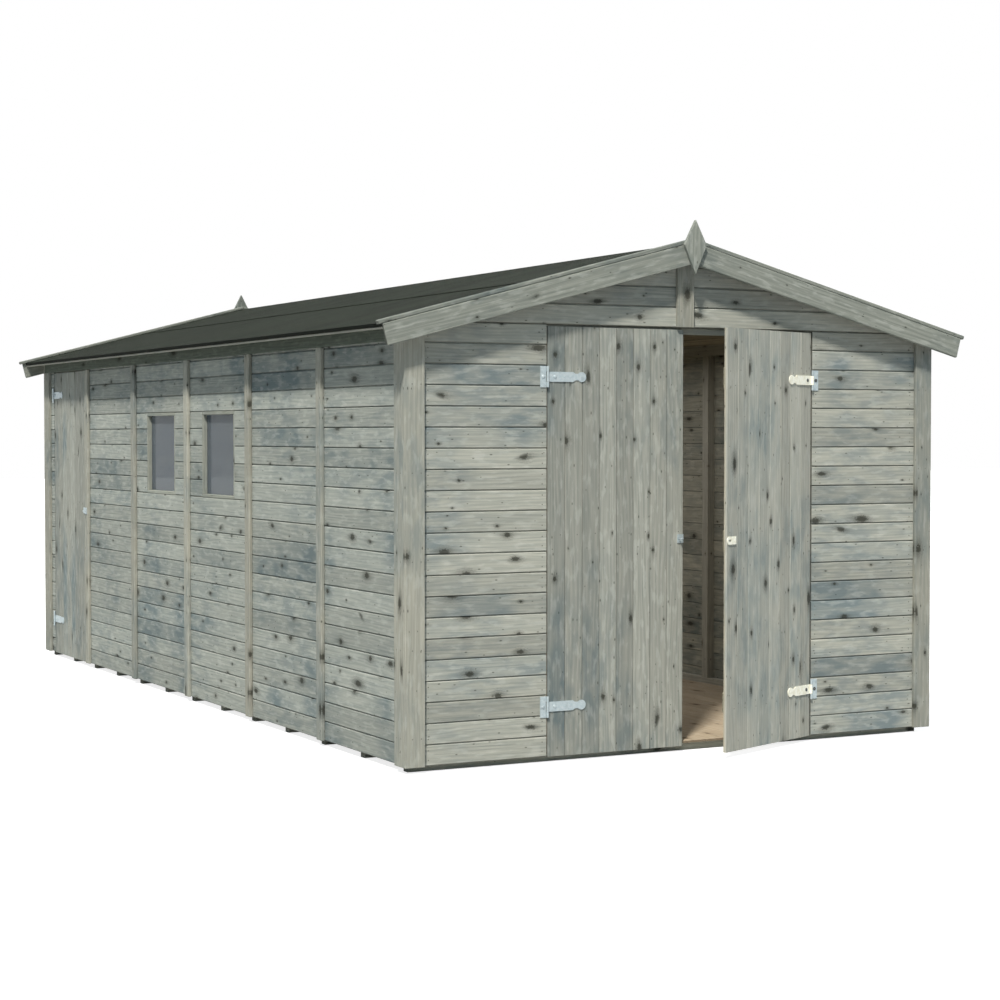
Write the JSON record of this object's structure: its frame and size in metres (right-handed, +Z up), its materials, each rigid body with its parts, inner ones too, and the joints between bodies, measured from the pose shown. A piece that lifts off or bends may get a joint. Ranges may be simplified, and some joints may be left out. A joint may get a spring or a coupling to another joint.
{
  "type": "garden shed",
  "caption": "Long timber garden shed with an apex felt roof, horizontal boarded walls, double front doors, a side door and fixed side windows; stores tools and gives room to work.",
  "frame": {"origin": "on the ground, at the middle of the floor plan, under the middle floor joist", "axes": "+Z up, -Y out of the front doors, +Y to the rear gable, -X out of the wall with the windows and the side door"},
  "size_m": [3.296, 6.2947, 2.5537],
  "materials": {
    "cladding": "pressure treated softwood, matt, greyish green to beige",
    "trim_wood": "pressure treated softwood, matt, sawn",
    "frame_wood": "planed softwood, matt",
    "board_wood": "planed softwood boards, matt",
    "roof_felt": "mineral roofing felt, rough, dark green grey",
    "galvanised": "galvanised steel, satin",
    "pane": "clear glazing, smooth"
  },
  "bodies": {
    "shell": {"floor_joists": "frame_wood", "floor_boards": "board_wood", "sole_plates": "frame_wood", "front_panels": "cladding", "rear_panels": "cladding", "gables": "cladding", "left_panels": "cladding", "window_panels": "cladding", "side_door_panels": "cladding", "right_panels": "cladding", "side_posts": "frame_wood", "end_posts": "frame_wood", "end_rails": "frame_wood", "opening_rails": "frame_wood", "wall_plates": "frame_wood", "window_linings": "trim_wood", "window_panes": "pane", "end_corner_boards": "trim_wood", "side_corner_boards": "trim_wood", "side_cover_strips": "trim_wood", "rear_cover_strips": "trim_wood", "gable_strips": "trim_wood", "eaves_rails": "trim_wood", "roof_deck_left": "board_wood", "roof_deck_right": "board_wood", "ridge_beam": "frame_wood", "purlins": "frame_wood", "eaves_battens": "trim_wood", "felt_left": "roof_felt", "felt_right": "roof_felt", "felt_ridge": "roof_felt", "bargeboards": "trim_wood", "verge_trims": "trim_wood", "finials": "trim_wood", "hinge_plates": "galvanised", "side_staple": "galvanised"},
    "front_left_door": {"front_left_leaf": "cladding", "front_left_ledges": "frame_wood", "front_left_braces": "frame_wood", "front_left_ironwork": "galvanised"},
    "front_right_door": {"front_right_leaf": "cladding", "front_right_ledges": "frame_wood", "front_right_braces": "frame_wood", "front_right_ironwork": "galvanised"},
    "side_door": {"side_leaf": "cladding", "side_ledges": "frame_wood", "side_braces": "frame_wood", "side_ironwork": "galvanised"}
  },
  "joints": [
    {"name": "front_left_hinge", "type": "hinge", "parent": "shell", "child": "front_left_door", "pos_m": [-0.7515, -2.958, 1.032], "axis": [0, 0, -1], "range_deg": [0, 165]},
    {"name": "front_right_hinge", "type": "hinge", "parent": "shell", "child": "front_right_door", "pos_m": [0.7515, -2.958, 1.032], "axis": [0, 0, 1], "range_deg": [-22.5, 142.5]},
    {"name": "side_hinge", "type": "hinge", "parent": "shell", "child": "side_door", "pos_m": [-1.478, 2.774, 1.032], "axis": [0, 0, -1], "range_deg": [0, 150]}
  ]
}
